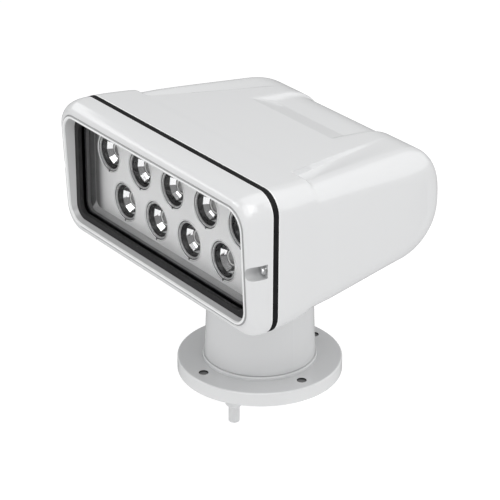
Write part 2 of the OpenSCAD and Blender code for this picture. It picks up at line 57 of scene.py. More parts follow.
def noise(nt, scale, detail=3.0, rough=0.5, stretch=None):
    co = nt.nodes.new("ShaderNodeTexCoord")
    n = nt.nodes.new("ShaderNodeTexNoise")
    n.inputs["Scale"].default_value = scale
    n.inputs["Detail"].default_value = detail
    n.inputs["Roughness"].default_value = rough
    if stretch:
        mp = nt.nodes.new("ShaderNodeMapping")
        mp.inputs["Scale"].default_value = stretch
        nt.links.new(co.outputs["Object"], mp.inputs["Vector"])
        nt.links.new(mp.outputs["Vector"], n.inputs["Vector"])
    else:
        nt.links.new(co.outputs["Object"], n.inputs["Vector"])
    return n


def ramp(nt, src, stops):
    r = nt.nodes.new("ShaderNodeValToRGB")
    els = r.color_ramp.elements
    while len(els) < len(stops):
        els.new(0.5)
    for e, (p, c) in zip(els, stops):
        e.position = p
        e.color = (*c, 1.0) if len(c) == 3 else c
    nt.links.new(src, r.inputs["Fac"])
    return r


def rng(nt, src, lo, hi):
    r = nt.nodes.new("ShaderNodeMapRange")
    r.inputs["From Min"].default_value = 0.3
    r.inputs["From Max"].default_value = 0.7
    r.inputs["To Min"].default_value = lo
    r.inputs["To Max"].default_value = hi
    nt.links.new(src, r.inputs["Value"])
    return r.outputs["Result"]


def bump(nt, sh, src, strength, dist):
    b = nt.nodes.new("ShaderNodeBump")
    b.inputs["Strength"].default_value = strength
    b.inputs["Distance"].default_value = dist
    nt.links.new(src, b.inputs["Height"])
    nt.links.new(b.outputs["Normal"], sh.inputs["Normal"])


def surface(name, c0, c1, r0, r1, metal=0.0, scale=40.0, bscale=900.0, bstr=0.05, bdist=0.00005, stretch=None, **kw):
    m, nt, sh = mat_new(name)
    setv(sh, metal=metal, **kw)
    n = noise(nt, scale, 4.0, 0.55, stretch)
    nt.links.new(ramp(nt, n.outputs["Fac"], [(0.3, c0), (0.7, c1)]).outputs["Color"], sh.inputs["Base Color"])
    n2 = noise(nt, scale * 3.1, 3.0, 0.5, stretch)
    nt.links.new(rng(nt, n2.outputs["Fac"], r0, r1), sh.inputs["Roughness"])
    n3 = noise(nt, bscale, 2.0, 0.5, stretch)
    bump(nt, sh, n3.outputs["Fac"], bstr, bdist)
    return m


WHITE = surface("white_gloss", (0.790, 0.795, 0.801), (0.795, 0.800, 0.806), 0.10, 0.12, metal=0.09, scale=5.0, bscale=700.0, bstr=0.006,
                bdist=0.00001, spec=0.06)


def shell_mat():
    """The same white, with a painted highlight: near white on the two rounded edges along the gasket."""
    m, nt, sh = mat_new("white_shell")
    setv(sh, metal=0.09, spec=0.06)
    co = nt.nodes.new("ShaderNodeTexCoord")
    sp = nt.nodes.new("ShaderNodeSeparateXYZ")
    nt.links.new(co.outputs["Object"], sp.inputs["Vector"])
    n = noise(nt, 5.0, 4.0, 0.55)
    ad = nt.nodes.new("ShaderNodeMath")
    ad.operation = "MULTIPLY_ADD"
    ad.inputs[1].default_value = 0.0002
    nt.links.new(n.outputs["Fac"], ad.inputs[0])
    nt.links.new(sp.outputs["Y"], ad.inputs[2])
    mr = nt.nodes.new("ShaderNodeMapRange")
    mr.inputs["From Min"].default_value = -0.0974
    mr.inputs["From Max"].default_value = -0.0874
    nt.links.new(ad.outputs["Value"], mr.inputs["Value"])
    # painted highlight: a near-white band along Y over the rounded edges beside the gasket
    plain, painted_highlight = (0.793, 0.798, 0.804), (0.955, 0.958, 0.962)
    nt.links.new(ramp(nt, mr.outputs["Result"], [(0.10, plain), (0.15, painted_highlight), (0.85, painted_highlight), (0.90, plain)]).outputs["Color"], sh.inputs["Base Color"])
    nt.links.new(rng(nt, n.outputs["Fac"], 0.10, 0.12), sh.inputs["Roughness"])
    n3 = noise(nt, 700.0, 2.0, 0.5)
    bump(nt, sh, n3.outputs["Fac"], 0.006, 0.00001)
    return m


SHELL = shell_mat()


def recess_mat():
    """The bezel's inner wall: the same paint darkened by painted shade, graded along Z and darkest at the bottom of the
    opening.
    """
    m, nt, sh = mat_new("white_recess_painted_shade")
    setv(sh, metal=0.09, spec=0.06)
    co = nt.nodes.new("ShaderNodeTexCoord")
    sp = nt.nodes.new("ShaderNodeSeparateXYZ")
    nt.links.new(co.outputs["Object"], sp.inputs["Vector"])
    n = noise(nt, 8.0, 4.0, 0.55)
    ad = nt.nodes.new("ShaderNodeMath")
    ad.operation = "MULTIPLY_ADD"
    ad.inputs[1].default_value = 0.006
    nt.links.new(n.outputs["Fac"], ad.inputs[0])
    nt.links.new(sp.outputs["Z"], ad.inputs[2])
    mr = nt.nodes.new("ShaderNodeMapRange")
    mr.inputs["From Min"].default_value = 0.130
    mr.inputs["From Max"].default_value = 0.238
    nt.links.new(ad.outputs["Value"], mr.inputs["Value"])
    # painted shade: a grey ramp along Z in place of the white, for the shade inside the opening
    nt.links.new(ramp(nt, mr.outputs["Result"], [(0.0, (0.46, 0.463, 0.467)), (0.07, (0.50, 0.503, 0.507)), (0.16, (0.66, 0.664, 0.669)), (0.45, (0.62, 0.624, 0.629)), (0.8, (0.60, 0.603, 0.607)), (1.0, (0.56, 0.563, 0.567))]).outputs["Color"],
                 sh.inputs["Base Color"])
    nt.links.new(rng(nt, n.outputs["Fac"], 0.12, 0.16), sh.inputs["Roughness"])
    return m


RECESS_SHADE = recess_mat()
# painted shade: the screw notches take a greyer copy of the white for the shade inside them
NOTCH_SHADE = surface("notch_painted_shade", (0.52, 0.524, 0.528), (0.56, 0.564, 0.568), 0.12, 0.16, metal=0.09, scale=12.0, bscale=700.0, bstr=0.006, bdist=0.00001, spec=0.06)
# painted shade: the crease outside the bead is a darker copy of the white
CREASE_SHADE = surface("crease_painted_shade", (0.40, 0.403, 0.406), (0.44, 0.443, 0.446), 0.14, 0.18, metal=0.09, scale=12.0, bscale=700.0, bstr=0.006, bdist=0.00001, spec=0.06)
# painted highlight: the rim bead is a near-white copy of the white
BEAD_HIGHLIGHT = surface("bead_painted_highlight", (0.92, 0.924, 0.928), (0.94, 0.944, 0.948), 0.10, 0.12, metal=0.09, scale=12.0, bscale=700.0, bstr=0.006, bdist=0.00001, spec=0.06)


def flange_mat():
    """The same white with painted shade, dark inside the four bolt holes and darker on the upper face, and a painted
    highlight on the rounded edge and side.
    """
    m, nt, sh = mat_new("white_flange")
    setv(sh, metal=0.09, spec=0.06)
    co = nt.nodes.new("ShaderNodeTexCoord")
    ab = nt.nodes.new("ShaderNodeVectorMath")
    ab.operation = "ABSOLUTE"
    nt.links.new(co.outputs["Object"], ab.inputs[0])
    fl = nt.nodes.new("ShaderNodeVectorMath")
    fl.operation = "MULTIPLY"
    fl.inputs[1].default_value = (1.0, 1.0, 0.0)
    nt.links.new(ab.outputs["Vector"], fl.inputs[0])
    ds = []
    for c in ((0.0635, 0.0, 0.0), (0.0, 0.0635, 0.0)):
        d = nt.nodes.new("ShaderNodeVectorMath")
        d.operation = "DISTANCE"
        d.inputs[1].default_value = c
        nt.links.new(fl.outputs["Vector"], d.inputs[0])
        ds.append(d.outputs["Value"])
    mn = nt.nodes.new("ShaderNodeMath")
    mn.operation = "MINIMUM"
    nt.links.new(ds[0], mn.inputs[0])
    nt.links.new(ds[1], mn.inputs[1])
    mr = nt.nodes.new("ShaderNodeMapRange")
    mr.inputs["From Min"].default_value = 0.00437
    mr.inputs["From Max"].default_value = 0.00452
    nt.links.new(mn.outputs["Value"], mr.inputs["Value"])
    sp = nt.nodes.new("ShaderNodeSeparateXYZ")
    nt.links.new(co.outputs["Object"], sp.inputs["Vector"])
    dz = nt.nodes.new("ShaderNodeMapRange")
    dz.inputs["From Min"].default_value = 0.0098
    dz.inputs["From Max"].default_value = 0.0139
    nt.links.new(sp.outputs["Z"], dz.inputs["Value"])
    # painted shade in the bolt holes: grey low down, near black towards the upper face
    bore_painted_shade = ramp(nt, dz.outputs["Result"], [(0.0, (0.42, 0.423, 0.427)), (0.45, (0.30, 0.302, 0.305)), (0.7, (0.06, 0.06, 0.061)), (1.0, (0.03, 0.03, 0.031))])
    nz = nt.nodes.new("ShaderNodeSeparateXYZ")
    nt.links.new(co.outputs["Normal"], nz.inputs["Vector"])
    n = noise(nt, 5.0, 4.0, 0.55)
    ad = nt.nodes.new("ShaderNodeMath")
    ad.operation = "MULTIPLY_ADD"
    ad.inputs[1].default_value = 0.01
    nt.links.new(n.outputs["Fac"], ad.inputs[0])
    nt.links.new(nz.outputs["Z"], ad.inputs[2])
    # painted shade and highlight by normal: darker where the face points straight up, lighter on the rounded edge and
    # the side
    face_shade_and_highlight = ramp(nt, ad.outputs["Value"], [(0.0, (0.83, 0.835, 0.84)), (0.55, (0.87, 0.875, 0.88)), (0.9, (0.80, 0.805, 0.81)), (1.0, (0.66, 0.664, 0.669))])
    mx = nt.nodes.new("ShaderNodeMix")
    mx.data_type = "RGBA"
    nt.links.new(mr.outputs["Result"], mx.inputs[0])
    nt.links.new(bore_painted_shade.outputs["Color"], mx.inputs[6])
    nt.links.new(face_shade_and_highlight.outputs["Color"], mx.inputs[7])
    nt.links.new(mx.outputs[2], sh.inputs["Base Color"])
    nt.links.new(rng(nt, n.outputs["Fac"], 0.10, 0.12), sh.inputs["Roughness"])
    return m


FLANGE = flange_mat()
WHITE_IN = surface("white_satin", (0.70, 0.71, 0.72), (0.74, 0.75, 0.76), 0.42, 0.5, scale=20.0, bscale=600.0, bstr=0.08)
RUBBER = surface("gasket_rubber", (0.008, 0.008, 0.009), (0.015, 0.015, 0.016), 0.55, 0.7, scale=90.0, bscale=2400.0, bstr=0.25,
                 bdist=0.00005, spec=0.15)
LENSRUB = surface("lens_rubber", (0.030, 0.030, 0.031), (0.038, 0.038, 0.039), 0.55, 0.7, scale=90.0, bscale=2400.0, bstr=0.2,
                  bdist=0.00005, spec=0.2)
GROOVE = surface("groove_black", (0.026, 0.026, 0.028), (0.038, 0.038, 0.040), 0.42, 0.55, scale=60.0, bscale=2000.0, bstr=0.2, bdist=0.00004,
                 spec=0.4)
# painted light: the frame's black is lifted to dark grey for the light the lens glass keeps off it
FRAME_LIFTED = surface("frame_black_painted_light", (0.150, 0.150, 0.152), (0.175, 0.175, 0.177), 0.42, 0.55, scale=60.0, bscale=2000.0, bstr=0.2,
                bdist=0.00004, spec=0.4)


def painted_shade_along_x(name, stops, x0, x1, r0, r1, metal, spec):
    """Painted shade along X: the colour ramps from near black at one end to light, with fine grain in colour and
    roughness.
    """
    m, nt, sh = mat_new(name)
    setv(sh, metal=metal, spec=spec)
    co = nt.nodes.new("ShaderNodeTexCoord")
    sp = nt.nodes.new("ShaderNodeSeparateXYZ")
    nt.links.new(co.outputs["Object"], sp.inputs["Vector"])
    n = noise(nt, 60.0, 3.0, 0.5, (1.0, 1.0, 0.15))
    mr = nt.nodes.new("ShaderNodeMapRange")
    mr.inputs["From Min"].default_value = x0
    mr.inputs["From Max"].default_value = x1
    nt.links.new(sp.outputs["X"], mr.inputs["Value"])
    ad = nt.nodes.new("ShaderNodeMath")
    ad.operation = "MULTIPLY_ADD"
    ad.inputs[1].default_value = 0.04
    nt.links.new(n.outputs["Fac"], ad.inputs[0])
    nt.links.new(mr.outputs["Result"], ad.inputs[2])
    nt.links.new(ramp(nt, ad.outputs["Value"], stops).outputs["Color"], sh.inputs["Base Color"])
    nt.links.new(rng(nt, n.outputs["Fac"], r0, r1), sh.inputs["Roughness"])
    return m


# painted shade: the plate's colour falls from light grey to near black towards its left end
PLATE = painted_shade_along_x("plate_satin", [(0.02, (0.09, 0.0905, 0.092)), (0.12, (0.12, 0.1206, 0.122)), (0.17, (0.17, 0.171, 0.173)), (0.24, (0.40, 0.402, 0.405)),
                               (0.32, (0.63, 0.633, 0.637)), (0.40, (0.74, 0.743, 0.747)), (0.55, (0.83, 0.833, 0.837)), (0.98, (0.89, 0.893, 0.897))],
               -0.1240, -0.0840, 0.42, 0.5, 0.1, 0.4)
# painted shade: the trim's colour falls from grey to near black at its left end
TRIM = painted_shade_along_x("trim_metal", [(0.05, (0.035, 0.0353, 0.036)), (0.5, (0.045, 0.0455, 0.046)), (0.62, (0.37, 0.372, 0.375)), (0.95, (0.41, 0.412, 0.415))],
              -0.1275, -0.1205, 0.3, 0.4, 0.1, 0.4)
CHROME = surface("cup_chrome", (0.82, 0.825, 0.83), (0.90, 0.905, 0.91), 0.05, 0.10, metal=1.0, scale=120.0, bscale=900.0,
                 bstr=0.04)
RINGGREY = surface("cup_ring", (0.88, 0.883, 0.887), (0.93, 0.933, 0.937), 0.16, 0.24, metal=0.2, scale=120.0, bscale=900.0,
                   bstr=0.02)
RINGDARK = surface("cup_ring_inner", (0.50, 0.502, 0.505), (0.58, 0.582, 0.585), 0.2, 0.3, metal=0.3, scale=120.0, bscale=900.0,
                   bstr=0.02)
DARKCHROME = surface("cup_dark", (0.008, 0.008, 0.009), (0.014, 0.014, 0.015), 0.10, 0.16, metal=0.0, scale=120.0, bscale=900.0,
                     bstr=0.03, spec=0.35)
RINGWHITE = surface("emitter_ring", (0.86, 0.86, 0.85), (0.92, 0.92, 0.91), 0.22, 0.3, scale=160.0, bscale=1500.0, bstr=0.06)
DOME = surface("emitter_dome", (0.15, 0.15, 0.148), (0.21, 0.21, 0.207), 0.08, 0.14, scale=200.0, bscale=1500.0, bstr=0.03,
               coat=0.6, coat_rough=0.03)
STEEL = surface("steel_bright", (0.55, 0.555, 0.56), (0.66, 0.665, 0.67), 0.18, 0.3, metal=1.0, scale=80.0, bscale=1800.0,
                bstr=0.12, stretch=(1.0, 0.2, 1.0))
BRIGHT = surface("screw_bright", (0.82, 0.824, 0.828), (0.92, 0.924, 0.928), 0.04, 0.08, metal=1.0, scale=200.0, bscale=1800.0, bstr=0.02)
ALU = surface("aluminium_cast", (0.52, 0.525, 0.53), (0.62, 0.625, 0.63), 0.38, 0.52, metal=0.9, scale=60.0, bscale=1200.0,
              bstr=0.3, bdist=0.0001)
BRONZE = surface("bronze", (0.50, 0.32, 0.14), (0.60, 0.40, 0.19), 0.25, 0.38, metal=1.0, scale=60.0, bscale=1600.0, bstr=0.15)
MOTOR = surface("motor_can", (0.06, 0.062, 0.066), (0.09, 0.092, 0.096), 0.35, 0.45, metal=0.6, scale=60.0, bscale=1600.0,
                bstr=0.12)
BOARD = surface("circuit_board", (0.015, 0.085, 0.04), (0.03, 0.13, 0.06), 0.3, 0.42, scale=160.0, bscale=900.0, bstr=0.2)
DARKPLAST = surface("dark_plastic", (0.025, 0.026, 0.028), (0.04, 0.041, 0.043), 0.4, 0.5, scale=90.0, bscale=1800.0, bstr=0.2)


def glass_mat():
    m, nt, sh = mat_new("lens_clear")
    setv(sh, base=(0.985, 0.985, 0.985, 1.0), trans=1.0, ior=1.12, spec=0.35)
    n = noise(nt, 30.0, 2.0, 0.5)
    nt.links.new(rng(nt, n.outputs["Fac"], 0.0, 0.015), sh.inputs["Roughness"])
    return m


GLASS = glass_mat()


# ------------------------------------------------------------------ mesh helpers
def make(name, verts, faces, mat, body, smooth=True, replaces=(), sharp=None, outward=None):
    me = bpy.data.meshes.new(name)
    me.from_pydata([tuple(c * MM for c in v) for v in verts], [], faces)
    me.validate()
    me.update()
    o = bpy.data.objects.new(name, me)
    scene.collection.objects.link(o)
    bm = bmesh.new()
    bm.from_mesh(me)
    bmesh.ops.remove_doubles(bm, verts=bm.verts, dist=1e-7)
    bmesh.ops.recalc_face_normals(bm, faces=bm.faces)
    if outward:
        c = Vector(outward) * MM
        if sum(f.normal.dot(f.calc_center_median() - c) * f.calc_area() for f in bm.faces) < 0:
            bmesh.ops.reverse_faces(bm, faces=bm.faces)
    bm.to_mesh(me)
    bm.free()
    for p in me.polygons:
        p.use_smooth = smooth
    if sharp:
        me.set_sharp_from_angle(angle=math.radians(sharp))
    me.materials.append(mat)
    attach(o, body)
    if replaces:
        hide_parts(*replaces)
    return o


def apply_mods(o):
    dg = bpy.context.evaluated_depsgraph_get()
    me = bpy.data.meshes.new_from_object(o.evaluated_get(dg))
    o.modifiers.clear()
    o.data = me


def sm(t):
    t = min(1.0, max(0.0, t))
    return t * t * (3 - 2 * t)


def lerp(a, b, t):
    return a + (b - a) * min(1.0, max(0.0, t))


def softmin(vals, k):
    m = min(vals)
    return m - k * math.log(sum(math.exp(-(v - m) / k) for v in vals))


def lathe(prof, cx, cz, segs, closed=True):
    """prof: (r, y) list; revolved about the Y axis through (cx, cz). A closed profile gives a closed ring."""
    vs, fs = [], []
    n = len(prof)
    for i in range(segs):
        a = 2 * math.pi * i / segs
        for r, y in prof:
            vs.append((cx + r * math.cos(a), y, cz + r * math.sin(a)))
    for i in range(segs):
        j = (i + 1) % segs
        for k in range(n if closed else n - 1):
            l = (k + 1) % n
            fs.append((i * n + k, j * n + k, j * n + l, i * n + l))
    return vs, fs


def lathe_z(prof, segs):
    vs, fs = [], []
    n = len(prof)
    for i in range(segs):
        a = 2 * math.pi * i / segs
        for r, z in prof:
            vs.append((r * math.cos(a), r * math.sin(a), z))
    for i in range(segs):
        j = (i + 1) % segs
        for k in range(n):
            l = (k + 1) % n
            fs.append((i * n + k, j * n + k, j * n + l, i * n + l))
    return vs, fs


def join_parts(parts):
    vs, fs = [], []
    for v, f in parts:
        o = len(vs)
        vs += v
        fs += [tuple(i + o for i in q) for q in f]
    return vs, fs


# ------------------------------------------------------------------ head housing
HZ = 184.3
Y_G0, Y_G1 = -95.0, -89.8
HW, HH, HR = 290.5, 128.9, 19.4
Y_REAR, REAR_SY, REAR_Z, REAR_PU, REAR_PL = 65.3, 49.5, 183.7, 2.5, 2.07
TOP_M, BOT_M = -0.0705, 0.0725


def ztop(y):
    return 248.54 + TOP_M * (y - Y_G1) + 0.2 * (1 - sm((y + 57) / 12))


def zbot(y):
    return 122.6 + BOT_M * (y - Y_G1) - 2.3 * (1 - sm((y + 57) / 12))


def half_w(y):
    if y < -80:
        return HW / 2 - 0.03 * (y - Y_G1)
    if y < -25:
        return lerp(HW / 2 - 0.294, 138.98, sm((y + 80) / 55) * 0.6 + 0.4 * (y + 80) / 55)
    return 138.98 - 0.126 * (y + 25)


def edge_r(y):
    return HR + 4.8 * sm((y + 45) / 120)


def groove_x(y):
    return 105.7 - 0.25 * (y + 45)


def cheek_d(y):
    return 5.0 * (1 - min(1.0, max(0.0, (y + 40) / 118)))


def sink(x, y):
    ax = abs(x)
    g = groove_x(y)
    w = 1.4 + 3.0 * sm((y + 40) / 100)
    t = sm((ax - g) / w) * sm((y + 49.5) / 7)
    c = t * cheek_d(y) * (1 - 0.96 * sm((ax - g - 4) / 30))
    v = softmin([(y - 32) * 0.18, 3.78 - (y - 56) * 0.037, (58.4 - ax) * 0.52], 0.06)
    return c + max(0.0, v)


Y_POCK = ((25 + 3 + 0.05))


def pocket_y(sign):
    """Y where the cradle's outside meets the underside."""
    r = Y_POCK
    c, s = math.cos(math.radians(20)), math.sin(math.radians(20))
    y = 0.0
    for _ in range(40):
        w = zbot(y) - 180.0
        y = sign * (r - w * s) / c
    return y


PY0, PY1 = pocket_y(-1), pocket_y(1)


def profile():
    pts = []
    ys = [Y_G1, Y_G1 + 0.3, Y_G1 + 0.6, Y_G1 + 1.0, Y_G1 + 2]
    y = -86.0
    while y < -60:
        ys.append(y)
        y += 3.0
    y = -60.0
    while y < -30:
        ys.append(y)
        y += 1.0
    while y < 30:
        ys.append(y)
        y += 3.0
    while y < Y_REAR - 0.4:
        ys.append(y)
        y += 1.0
    # the pocket's two edges are stations above as well as below, so that the side panels' rungs run straight
    ys = sorted([y for y in ys if abs(y - PY0) > 0.8 and abs(y - PY1) > 0.8] + [PY0, PY1])
    for y in ys:
        pts.append((y, ztop(y), "t"))
    n = 64
    zt, zb = ztop(Y_REAR), zbot(Y_REAR)
    for i in range(n + 1):
        a = math.pi / 2 - math.pi * i / n
        s, c = math.sin(a), abs(math.cos(a))
        e = 2 / (REAR_PU if s > 0 else REAR_PL)
        q, k = math.copysign(abs(s) ** e, s), c ** e
        # the slopes of the top and the underside die away round the rear, so the outline has no kink
        z = REAR_Z + (zt - REAR_Z if s > 0 else REAR_Z - zb) * q + (TOP_M if s > 0 else BOT_M) * REAR_SY * k * q * q
        pts.append((Y_REAR + REAR_SY * k, z, "r%.4f" % s))
    for y in reversed(ys):
        pts.append((y, zbot(y), "b"))
    return pts


def build_housing():
    P = profile()
    R = len(P)
    # columns: (kind, value); x is a function of y
    def half_cols():
        out = [("abs", v) for v in (12, 24, 34.55, 42, 48, 51.5, 53, 54.5, 56, 57, 58, 59)]
        out += [("pg", v) for v in (0.2, 0.4, 0.6, 0.8, 0.93)]
        out += [("g", v) for v in (-1.0, 0, 0.7, 1.4, 2.2, 3.0, 4.0, 5.2, 6.5, 8.5)]
        out += [("gc", v) for v in (0.35, 0.7)]
        out += [("phi", v) for v in [90.0 * i / 18 for i in range(19)]]
        return out
    hc = half_cols()
    cols = [(-1, c) for c in reversed(hc)] + [(1, ("abs", 0.0))] + [(1, c) for c in hc]
    C = len(cols)

    def colx(c, y):
        a = half_w(y)
        k, v = c
        g = groove_x(y)
        r = edge_r(y)
        xo = a - r
        if k == "abs":
            return v, 0.0
        if k == "pg":
            return 59 + (g - 1 - 59) * v, 0.0
        if k == "g":
            return g + v, 0.0
        if k == "gc":
            return lerp(g + 8.5, xo, v), 0.0
        return xo + r * math.sin(math.radians(v)), r * (1 - math.cos(math.radians(v)))

    verts = []
    for i, (y, z, tag) in enumerate(P):
        a0, a1 = P[max(0, i - 1)], P[min(R - 1, i + 1)]
        ty, tz = a1[0] - a0[0], a1[1] - a0[1]
        l = math.hypot(ty, tz)
        ny, nz = tz / l, -ty / l
        if tag in "tb":
            # the lean follows the plain slope, not the small step behind the rim, so the side stays flat
            ny = (TOP_M if tag == "t" else -BOT_M) / math.hypot(1, TOP_M if tag == "t" else BOT_M)
            # the front edge is square to the gasket, so the tilt of the section fades in behind it
            ny *= sm((y - Y_G1 - 2) / 40)
            nz = math.copysign(math.sqrt(1 - ny * ny), nz)
        lip = 0.0
        if y < Y_G1 + 0.1:
            lip = 0.6
        elif y < Y_G1 + 0.4:
            lip = 0.2
        elif y < Y_G1 + 0.7:
            lip = 0.04
        up = 1.0 if tag == "t" else (0.0 if tag == "b" else sm(float(tag[1:]) / 0.55))
        for sgn, c in cols:
            x, d = colx(c, y)
            s = sink(x, y) * up if up > 0 else 0.0
            if c[0] == "phi":
                s = sink(half_w(y) - edge_r(y), y) * up * math.cos(math.radians(c[1])) ** 0.5 if up > 0 and c[1] < 89.9 else 0.0
            off = d + s + lip * (math.cos(math.radians(c[1])) if c[0] == "phi" else 1.0)
            xx = x - (lip * math.sin(math.radians(c[1])) if c[0] == "phi" else 0.0)
            verts.append((sgn * xx, y + ny * off, z + nz * off))
    faces = []
    for i in range(R - 1):
        yb = P[i][2] == "b" and P[i + 1][2] == "b" and P[i][0] <= PY1 + 1e-6 and P[i + 1][0] >= PY0 - 1e-6
        for c in range(C - 1):
            if yb:
                x0, _ = colx(cols[c][1], 0.0)
                x1, _ = colx(cols[c + 1][1], 0.0)
                if max(x0, x1) <= 34.56 and cols[c][1][0] == "abs" and cols[c + 1][1][0] == "abs":
                    continue
            A = i * C + c
            faces.append((A, A + C, A + C + 1, A + 1))
    # side panels: rungs between the upper and lower edge at equal y, slightly crowned
    top_n = sum(1 for p in P if p[2] == "t")
    for side in (0, C - 1):
        edge = [i * C + side for i in range(R)]
        K = 10
        rows = [(i, R - 1 - i) for i in range(R // 2)]
        prev = None
        for (i, j) in rows:
            a, b = verts[edge[i]], verts[edge[j]]
            line = [edge[i]]
            for k in range(1, K):
                t = k / K
                p = tuple(a[q] + (b[q] - a[q]) * t for q in range(3))
                verts.append(p)
                line.append(len(verts) - 1)
            line.append(edge[j])
            if prev:
                for k in range(K):
                    q = [prev[k], prev[k + 1], line[k + 1], line[k]]
                    q2 = []
                    for v in q:
                        if v not in q2:
                            q2.append(v)
                    if len(q2) >= 3:
                        faces.append(tuple(q2))
            prev = line
    o = make("head_housing", verts, faces, SHELL, "head", True, ("rear_housing",), outward=(0, 0, HZ))
    sd = o.modifiers.new("wall", "SOLIDIFY")
    sd.thickness = 3.6 * MM
    sd.offset = -1.0
    sd.use_rim = True
    apply_mods(o)
    for p in o.data.polygons:
        p.use_smooth = True
    o.data.set_sharp_from_angle(angle=math.radians(50))
    return o


housing = build_housing()


# ------------------------------------------------------------------ bezel
def rr_ring(w, h, r, y, rake, nc=20, ne=10):
    pts = []
    for q, (sx, sz) in enumerate(((1, 1), (-1, 1), (-1, -1), (1, -1))):
        for i in range(nc + 1):
            a = math.radians(q * 90 + 90 * i / nc)
            pts.append((sx * (w / 2 - r) + r * math.cos(a), sz * (h / 2 - r) + r * math.sin(a)))
        # straight run to the next corner
        nx = ((-1, 1), (-1, -1), (1, -1), (1, 1))[q]
        a = math.radians(q * 90 + 90)
        e0 = pts[-1]
        e1 = (nx[0] * (w / 2 - r) + r * math.cos(a), nx[1] * (h / 2 - r) + r * math.sin(a))
        for i in range(1, ne):
            pts.append((lerp(e0[0], e1[0], i / ne), lerp(e0[1], e1[1], i / ne)))
    return [(x, y - rake * z, HZ + z) for x, z in pts]


def loft(rings):
    n = len(rings[0])
    vs, fs = [], []
    for r in rings:
        vs += r
    m = len(rings)
    for k in range(m):
        l = (k + 1) % m
        for i in range(n):
            j = (i + 1) % n
            fs.append((k * n + i, l * n + i, l * n + j, k * n + j))
    return vs, fs


RIM_W, RIM_H, RAKE, Y_RIM = 270.9, 105.2, 0.0502, -119.7


def build_bezel():
    rings = []
    for y, ins in ((Y_G0, 0.6), (Y_G0 - 0.3, 0.2), (Y_G0 - 0.6, 0.04), (Y_G0 - 1.0, 0.0), (-98.5, 0.0)):
        rings.append(rr_ring(HW - 2 * ins, HH - 2 * ins, HR - ins, y, 0))
    y0, y1 = -101.0, Y_RIM + 1.1
    ow, oh = RIM_W + 5.0, RIM_H + 5.0
    for i in range(0, 19):
        t = math.radians(90.0 * i / 18)
        k = 1 - math.cos(t)
        s = math.sin(t)
        rings.append(rr_ring(lerp(HW, ow, k), lerp(HH, oh, k), lerp(HR, 19.0, k), lerp(y0, y1, s), RAKE * s))
    # fine crease, then the raised rim bead
    for dw, dy, r in ((4.3, 1.4, 18.9), (3.6, 1.7, 18.7), (2.9, 1.4, 18.4), (2.2, 0.4, 18.2), (1.4, 0.1, 17.9), (0.4, 0.0, 17.5),
                      (-0.8, 0.05, 17.0), (-1.7, 0.35, 16.6), (-2.2, 0.9, 16.4), (-2.5, 1.8, 16.2)):
        rings.append(rr_ring(RIM_W + dw, RIM_H + dw, r, Y_RIM + dy, RAKE))
    n_in = 6
    for i in range(1, n_in + 1):
        t = i / n_in
        rings.append(rr_ring(lerp(RIM_W - 2.5, 264.6, t), lerp(RIM_H - 2.5, 98.9, t), lerp(16.2, 13.2, t),
                             lerp(Y_RIM + 1.8, -111.0, t), lerp(RAKE, 0, t)))
    rings.append(rr_ring(270.0, 104.4, 16.0, -111.0, 0))
    rings.append(rr_ring(270.0, 104.4, 16.0, Y_G0, 0))
    v, f = loft(rings)
    o = make("head_bezel", v, f, SHELL, "head", True, ("front_bezel",))
    # side notches for the screws
    for s in (-1, 1):
        # open slot: half-round inner end, straight walls, leaning outward towards the front
        sec = [(-6.4 * math.sin(math.radians(t)), 6.4 * math.cos(math.radians(t))) for t in range(0, 181, 6)]
        sec = [(20.0, 6.4)] + sec + [(20.0, -6.4)]
        cv, cf = [], []
        for y in (-100.8, -135.0):
            for dx, dz in sec:
                cv.append((s * (142.6 + dx + 0.088 * (-100.8 - y)), y, HZ + dz))
        n = len(sec)
        cf = [tuple(range(n)), tuple(range(2 * n - 1, n - 1, -1))]
        cf += [(i, (i + 1) % n, n + (i + 1) % n, n + i) for i in range(n)]
        me = bpy.data.meshes.new("cut")
        me.from_pydata([tuple(c * MM for c in q) for q in cv], [], cf)
        bm = bmesh.new()
        bm.from_mesh(me)
        bmesh.ops.remove_doubles(bm, verts=bm.verts, dist=1e-7)
        bmesh.ops.recalc_face_normals(bm, faces=bm.faces)
        bm.to_mesh(me)
        bm.free()
        cut = bpy.data.objects.new("cut", me)
        scene.collection.objects.link(cut)
        b = o.modifiers.new("notch", "BOOLEAN")
        b.operation = "DIFFERENCE"
        b.solver = "EXACT"
        b.object = cut
        apply_mods(o)
        bpy.data.objects.remove(cut)
    # painted shade and highlight by place: 1 inner wall (painted shade), 2 screw notches (painted shade), 3 crease
    # outside the bead (painted shade), 4 bead (painted highlight)
    for m in (RECESS_SHADE, NOTCH_SHADE, CREASE_SHADE, BEAD_HIGHLIGHT):
        o.data.materials.append(m)
    for p in o.data.polygons:
        p.use_smooth = True
        x, y, z = abs(p.center[0]) / MM, p.center[1] / MM, p.center[2] / MM - HZ
        qx, qz = x - (RIM_W / 2 - 17.5), abs(z) - (RIM_H / 2 - 17.5)
        sd = math.hypot(max(qx, 0), max(qz, 0)) + min(max(qx, qz), 0) - 17.5
        dx = x - (142.6 + 0.088 * (-100.8 - y))
        if y < -100.75 and abs(z) < 6.45 and x > 135 and (abs((math.hypot(dx, z) if dx < 0 else abs(z)) - 6.4) < 0.12 or abs(y + 100.8) < 0.03):
            p.material_index = 2
        elif y < Y_RIM - RAKE * z + 3 and 1.25 < sd < 2.35:
            p.material_index = 3
        elif y < Y_RIM - RAKE * z + 1.4 and -1.2 < sd <= 1.25:
            p.material_index = 4
        elif y < -110.9 and sd <= -1.2:
            p.material_index = 1
    o.data.set_sharp_from_angle(angle=math.radians(38))
    return o


bezel = build_bezel()


